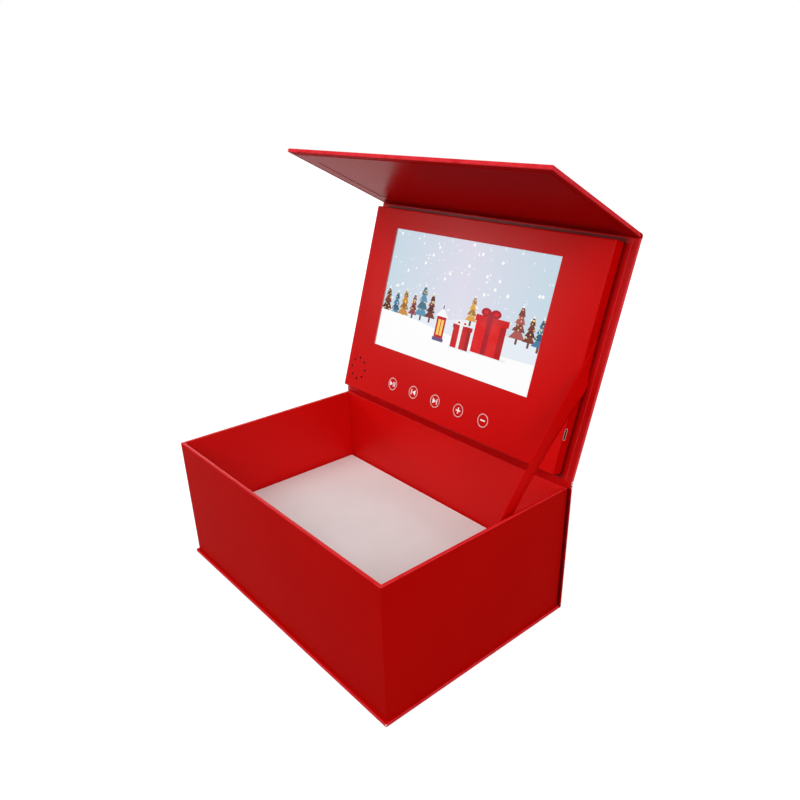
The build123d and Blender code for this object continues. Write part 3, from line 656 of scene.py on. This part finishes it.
def makePicture():
    bm = bmesh.new()
    tint = bm.loops.layers.float_color.new("tint")
    layer = [0.02]
    wide, tall = picture["halfWidth"], picture["halfHeight"]
    dice = random.Random(picture["seed"])

    def paint(made, colour, shape=None):
        # lays a new shape on the glass, over the ones before it, and keeps it inside the picture
        for vert in made:
            if shape:
                vert.co.x, vert.co.y = shape(vert.co.x, vert.co.y)
            vert.co.x = min(max(vert.co.x, -wide), wide)
            vert.co.y = min(max(vert.co.y, -tall), tall)
            vert.co.z = layer[0]
        for face in {face for vert in made for face in vert.link_faces}:
            if face.normal.z < 0:
                face.normal_flip()
            for loop in face.loops:
                tone = colour(loop.vert.co.x, loop.vert.co.y) if callable(colour) else colour
                loop[tint] = (*tone, 1.0)
        layer[0] += 0.0006

    def disc(x, y, radius, colour, corners=16, high=1.0, turn=0.0):
        made = bmesh.ops.create_circle(bm, cap_ends=True, segments=corners, radius=radius)["verts"]

        def shape(a, b):
            c, s = math.cos(turn), math.sin(turn)
            return x + a * c - b * s, y + (a * s + b * c) * high

        paint(made, colour, shape)

    def block(x, y, width, height, colour, lean=0.0):
        made = bmesh.ops.create_grid(bm, x_segments=1, y_segments=1, size=0.5)["verts"]
        paint(made, colour, lambda a, b: (x + a * width + b * lean, y + b * height))

    def roof(x, y, width, height, colour):
        # a triangle that stands on its base
        made = bmesh.ops.create_circle(bm, cap_ends=True, segments=3, radius=1.0)["verts"]
        paint(made, colour, lambda a, b: (x + a / 0.866 * width / 2, y + (b + 0.5) / 1.5 * height))

    def hill(height, colour, columns=60):
        made = bmesh.ops.create_grid(bm, x_segments=columns, y_segments=1, size=1.0)["verts"]
        paint(made, colour, lambda a, b: (a * wide, -tall if b < 0 else height(a * wide)))

    def sky(x, y):
        share = (x + wide) / (2 * wide)
        side = abs(share - 0.5) * 2
        both = zip(picture["skyEdge"], picture["skyMiddle"])
        tone = [edge * side + middle * (1 - side) for edge, middle in both]
        return tuple(min(1.0, t + (tall - y) * 0.0004) for t in tone)

    made = bmesh.ops.create_grid(bm, x_segments=24, y_segments=12, size=1.0)["verts"]
    paint(made, sky, lambda a, b: (a * wide, b * tall))
    for k in range(picture["flakes"]):
        size = dice.choice((0.4, 0.4, 0.5, 0.5, 0.7, 1.15))
        disc(dice.uniform(-wide, wide), dice.uniform(-8, tall), size, picture["snow"], 10)

    def farHill(x):
        return -13.5 + 5.0 * math.sin(x / 34.0 + 0.9) + 1.2 * math.sin(x / 9.0)

    def nearHill(x):
        return -20.0 + 4.0 * math.sin(x / 40.0 + 3.4)

    hill(farHill, (0.80, 0.86, 0.93))
    # fir trees in winter colours, with lights on them
    tones = [
        (0.20, 0.035, 0.012), (0.06, 0.20, 0.36), (0.62, 0.26, 0.03), (0.32, 0.05, 0.045),
        (0.10, 0.28, 0.42), (0.17, 0.028, 0.010), (0.75, 0.36, 0.06), (0.42, 0.10, 0.09),
    ]
    for k, x in enumerate((-72, -62, -53, -43, -34, -24.5, 15, 57, 67, 75)):
        tone = tones[k % len(tones)]
        size = dice.uniform(17.0, 25.0)
        foot = farHill(x) - 2.5
        dark = tuple(c * 0.55 for c in tone)
        block(x, foot + 1.0, 1.8, 4.0, (0.16, 0.06, 0.04))
        for tier in range(4):
            width = size * (0.56 - 0.105 * tier)
            low = foot + 2.4 + size * 0.2 * tier
            roof(x, low, width, size * 0.34, dark if tier % 2 else tone)
            roof(x, low + size * 0.22, width * 0.36, size * 0.12, (0.93, 0.95, 0.98))
        for light in range(9):
            up = dice.uniform(0.12, 0.8)
            aside = dice.uniform(-0.2, 0.2) * size * (1 - up)
            disc(x + aside, foot + 2.4 + size * up, 0.5, (1.0, 0.78, 0.30), 6)
    hill(nearHill, (1.0, 1.0, 1.0))
    # two wrapped presents with bows
    for x, foot, size, tone, band in (
        (34.0, -27.0, 27.0, (0.74, 0.004, 0.004), (0.42, 0.0, 0.01)),
        (9.5, -28.0, 17.0, (0.60, 0.004, 0.006), (0.95, 0.90, 0.86)),
    ):
        block(x + size * 0.06, foot + 0.2, size * 1.25, 1.8, (0.86, 0.89, 0.93), 2.0)
        block(x, foot + size * 0.42, size, size * 0.84, tone)
        block(x + size * 0.4, foot + size * 0.42, size * 0.2, size * 0.84, tuple(c * 0.62 for c in tone))
        block(x - size * 0.08, foot + size * 0.42, size * 0.16, size * 0.84, band)
        block(x, foot + size * 0.86, size * 1.1, size * 0.16, tuple(c * 0.85 for c in tone))
        block(x - size * 0.08, foot + size * 0.86, size * 0.18, size * 0.16, band)
        knot, bow = x - size * 0.08, foot + size * 1.03
        for side in (-1, 1):
            disc(knot + side * size * 0.16, bow, size * 0.17, band, 16, 0.62, side * 0.5)
            disc(knot + side * size * 0.17, bow, size * 0.07, tone, 12, 0.6, side * 0.5)
        disc(knot, foot + size * 0.97, size * 0.07, band, 12)
    # a lantern on the snow
    block(-12.0, -17.5, 9.0, 15.0, (0.55, 0.0, 0.006))
    block(-12.0, -17.5, 5.6, 11.0, (1.0, 0.62, 0.12))
    block(-12.0, -17.5, 0.7, 11.0, (0.40, 0.0, 0.0))
    block(-12.0, -26.0, 11.0, 2.4, (0.10, 0.08, 0.22))
    roof(-12.0, -10.0, 13.0, 6.0, (0.96, 0.97, 1.0))
    block(-12.0, -3.4, 0.9, 2.6, (0.10, 0.08, 0.22))
    # dark rim of the glass, seen past the window's right edge
    block(wide - 0.5, 0.0, 1.0, 2 * tall, (0.06, 0.08, 0.13))
    for vert in bm.verts:
        x, y, z = vert.co
        vert.co = lidPoint(picture["centre"][0] + x, picture["centre"][1] + y, picture["glass"] + z)
    piece = addPiece("winterPicture", bm, [litPrint("litPrint", picture["glow"])])
    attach(piece, "lid")


makePicture()
print("picture on the display")


# printed signs on the keys
signs = {
    "pitch": 23.4,
    "middle": -5.2,
    "up": 19.3,
    "face": 9.615,
    "ringRadius": 4.65,
    "ringLine": 0.55,
    "ink": (0.86, 0.80, 0.80),
    "thinInk": (0.78, 0.46, 0.45),
}


def inkPrint(name, colour):
    material, tree, shader = newMaterial(name)
    coords = place(tree)
    grain = noiseAt(tree, coords, 1800.0, 2.0)
    thin = tuple(c * 0.88 for c in colour)
    tone = mixColour(tree, spread(tree, grain.outputs["Fac"], 0.45, 0.7), colour, thin)
    tree.links.new(tone, shader.inputs["Base Color"])
    shader.inputs["Roughness"].default_value = 0.5
    shader.inputs["Specular IOR Level"].default_value = 0.2
    return material


def makeSign(name, body, x, shapes, materials):
    bm = bmesh.new()
    radius, line = signs["ringRadius"], signs["ringLine"]
    ring = bmesh.ops.create_circle(bm, cap_ends=True, segments=48, radius=radius)["verts"]
    face = ring[0].link_faces[0]
    bmesh.ops.inset_region(bm, faces=[face], thickness=line, use_boundary=True, use_even_offset=True)
    bmesh.ops.delete(bm, geom=[face], context="FACES_ONLY")
    for f in bm.faces:
        f.material_index = 1
    for kind, at, size in shapes:
        if kind == "bar":
            made = bmesh.ops.create_grid(bm, x_segments=1, y_segments=1, size=0.5)["verts"]
            for vert in made:
                vert.co.x = at[0] + vert.co.x * size[0]
                vert.co.y = at[1] + vert.co.y * size[1]
        else:
            made = bmesh.ops.create_circle(bm, cap_ends=True, segments=3, radius=1.0)["verts"]
            way = 1 if kind == "forward" else -1
            for vert in made:
                a, b = vert.co.x, vert.co.y
                vert.co.x = at[0] + way * (b - 0.25) / 1.5 * size[0]
                vert.co.y = at[1] + a / 0.866 * size[1] / 2
    for f in bm.faces:
        f.normal_update()
        if f.normal.z < 0:
            f.normal_flip()
    for vert in bm.verts:
        vert.co = lidPoint(x + vert.co.x, signs["up"] + vert.co.y, signs["face"])
    piece = addPiece(name, bm, materials)
    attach(piece, body)


inks = [inkPrint("signInk", signs["ink"]), inkPrint("ringInk", signs["thinInk"])]
# each sign's name, its button, and its shapes: kind, place and size
keySigns = [
    ("playSign", "play_button", [
        ("forward", (-1.6, 0), (3.3, 3.8)), ("bar", (0.9, 0), (0.75, 3.6)), ("bar", (2.3, 0), (0.75, 3.6)),
    ]),
    ("previousSign", "previous_button", [
        ("bar", (-1.9, 0), (0.85, 3.9)), ("backward", (0.7, 0), (3.4, 4.1)),
    ]),
    ("nextSign", "next_button", [
        ("forward", (-0.7, 0), (3.4, 4.1)), ("bar", (1.9, 0), (0.85, 3.9)),
    ]),
    ("louderSign", "louder_button", [
        ("bar", (0, 0), (4.2, 0.95)), ("bar", (0, 1.29), (0.95, 1.63)), ("bar", (0, -1.29), (0.95, 1.63)),
    ]),
    ("quieterSign", "quieter_button", [("bar", (0, 0), (4.2, 0.95))]),
]
for k, (name, body, shapes) in enumerate(keySigns):
    makeSign(name, body, signs["middle"] + (k - 2) * signs["pitch"], shapes, inks)
print("signs on the keys")


# floor, light and camera
studio = {
    "floorSize": 6.0,
    "floorTone": 0.3,
    "floorGlow": (0.22, 0.7, 0.8, 1.0),     # from and to how far away, from and to what strength
    "world": 0.35,
    "lamps": [
        # name, place, aim, size, power
        ("leftKeyLamp", (-0.30, -0.45, 0.75), (0.0, 0.03, 0.1), 0.45, 1.6),
        ("frontLamp", (0.0, -0.55, 0.60), (0.0, 0.03, 0.1), 0.45, 1.6),
        ("rightKeyLamp", (0.55, -0.25, 0.70), (0.0, 0.03, 0.1), 0.45, 0.6),
        ("rightLamp", (1.5, -0.5, 0.9), (0.0, 0.0, 0.1), 0.9, 12.2),
        ("lowLeftLamp", (-0.85, -0.8, 0.45), (0.0, 0.03, 0.1), 0.3, 2.9),
        ("lowRightLamp", (1.1, -0.6, 0.3), (0.0, 0.03, 0.1), 0.6, 1.0),
        ("backLamp", (0.3, 1.7, 0.8), (0.0, 0.0, 0.1), 0.9, 14.0),
        ("leftLamp", (-1.6, 0.6, 0.6), (0.0, 0.0, 0.1), 0.9, 8.0),
    ],
}


def cameraMix(tree, lit, strength):
    # white to the camera, and to gloss and glass, and `lit` to everything else
    path = addNode(tree, "LightPath")
    seen = mathNode(tree, "MAXIMUM", path.outputs["Is Camera Ray"], path.outputs["Is Glossy Ray"])
    seen = mathNode(tree, "MAXIMUM", seen, path.outputs["Is Transmission Ray"])
    white = addNode(tree, "Background", {"Color": (1, 1, 1, 1), "Strength": strength})
    mix = addNode(tree, "MixShader", {0: seen, 1: lit, 2: white.outputs[0]})
    return mix.outputs[0]


def makeWorld():
    world = bpy.data.worlds.new("studio")
    world.use_nodes = True
    tree = world.node_tree
    tree.nodes.clear()
    lit = addNode(tree, "Background", {"Color": (1, 1, 1, 1), "Strength": studio["world"]})
    output = addNode(tree, "OutputWorld")
    tree.links.new(cameraMix(tree, lit.outputs[0], 1.0), output.inputs["Surface"])
    bpy.context.scene.world = world


def makeFloor():
    bm = bmesh.new()
    bmesh.ops.create_grid(bm, x_segments=1, y_segments=1, size=studio["floorSize"] / 2)
    mesh = bpy.data.meshes.new("floor")
    bm.to_mesh(mesh)
    bm.free()
    floor = bpy.data.objects.new("floor", mesh)
    bpy.context.scene.collection.objects.link(floor)
    material, tree, shader = newMaterial("paleFloor")
    shader.inputs["Base Color"].default_value = (*[studio["floorTone"]] * 3, 1)
    shader.inputs["Roughness"].default_value = 0.9
    shader.inputs["Specular IOR Level"].default_value = 0.1
    path = addNode(tree, "LightPath")
    glow = addNode(tree, "Emission", {"Color": (1, 1, 1, 1)})
    seen = mathNode(tree, "MAXIMUM", path.outputs["Is Camera Ray"], path.outputs["Is Glossy Ray"])
    away = addNode(tree, "VectorMath", {0: place(tree)}, operation="LENGTH").outputs["Value"]
    lift = spread(tree, away, *studio["floorGlow"])
    tree.links.new(mathNode(tree, "MULTIPLY", seen, lift), glow.inputs["Strength"])
    both = addNode(tree, "AddShader", {0: shader.outputs[0], 1: glow.outputs[0]})
    below = addNode(tree, "NewGeometry").outputs["Backfacing"]
    clear = addNode(tree, "BsdfTransparent")
    mix = addNode(tree, "MixShader", {0: below, 1: both.outputs[0], 2: clear.outputs[0]})
    output = [n for n in tree.nodes if n.type == "OUTPUT_MATERIAL"][0]
    tree.links.new(mix.outputs[0], output.inputs["Surface"])
    mesh.materials.append(material)
    floor.location.z = -0.0002
    return floor


def makeLamps():
    for name, where, aim, size, power in studio["lamps"]:
        data = bpy.data.lights.new(name, "AREA")
        data.size = size
        data.energy = power
        lamp = bpy.data.objects.new(name, data)
        lamp.location = where
        lamp.rotation_euler = (Vector(aim) - Vector(where)).to_track_quat("-Z", "Y").to_euler()
        bpy.context.scene.collection.objects.link(lamp)


shot = {
    "place": (0.333856, -0.241373, 0.303374),
    "yaw": 48.528,
    "pitch": 26.129,
    "roll": -0.674,
    "lens": 31.53,
    "shift": (-0.02717, 0.06072),
}


def makeCamera():
    data = bpy.data.cameras.new("photoCamera")
    data.lens = shot["lens"]
    data.sensor_width = 36.0
    data.shift_x, data.shift_y = shot["shift"]
    data.clip_start = 0.01
    camera = bpy.data.objects.new("photoCamera", data)
    bpy.context.scene.collection.objects.link(camera)
    yaw, pitch, roll = (math.radians(shot[key]) for key in ("yaw", "pitch", "roll"))
    camera.matrix_world = (
        Matrix.Translation(shot["place"]) @ Matrix.Rotation(yaw, 4, "Z")
        @ Matrix.Rotation(math.pi / 2 - pitch, 4, "X") @ Matrix.Rotation(roll, 4, "Z")
    )
    bpy.context.scene.camera = camera


makeWorld()
makeFloor()
makeLamps()
makeCamera()
bpy.context.scene.view_settings.view_transform = "Standard"
print("floor, light and camera")
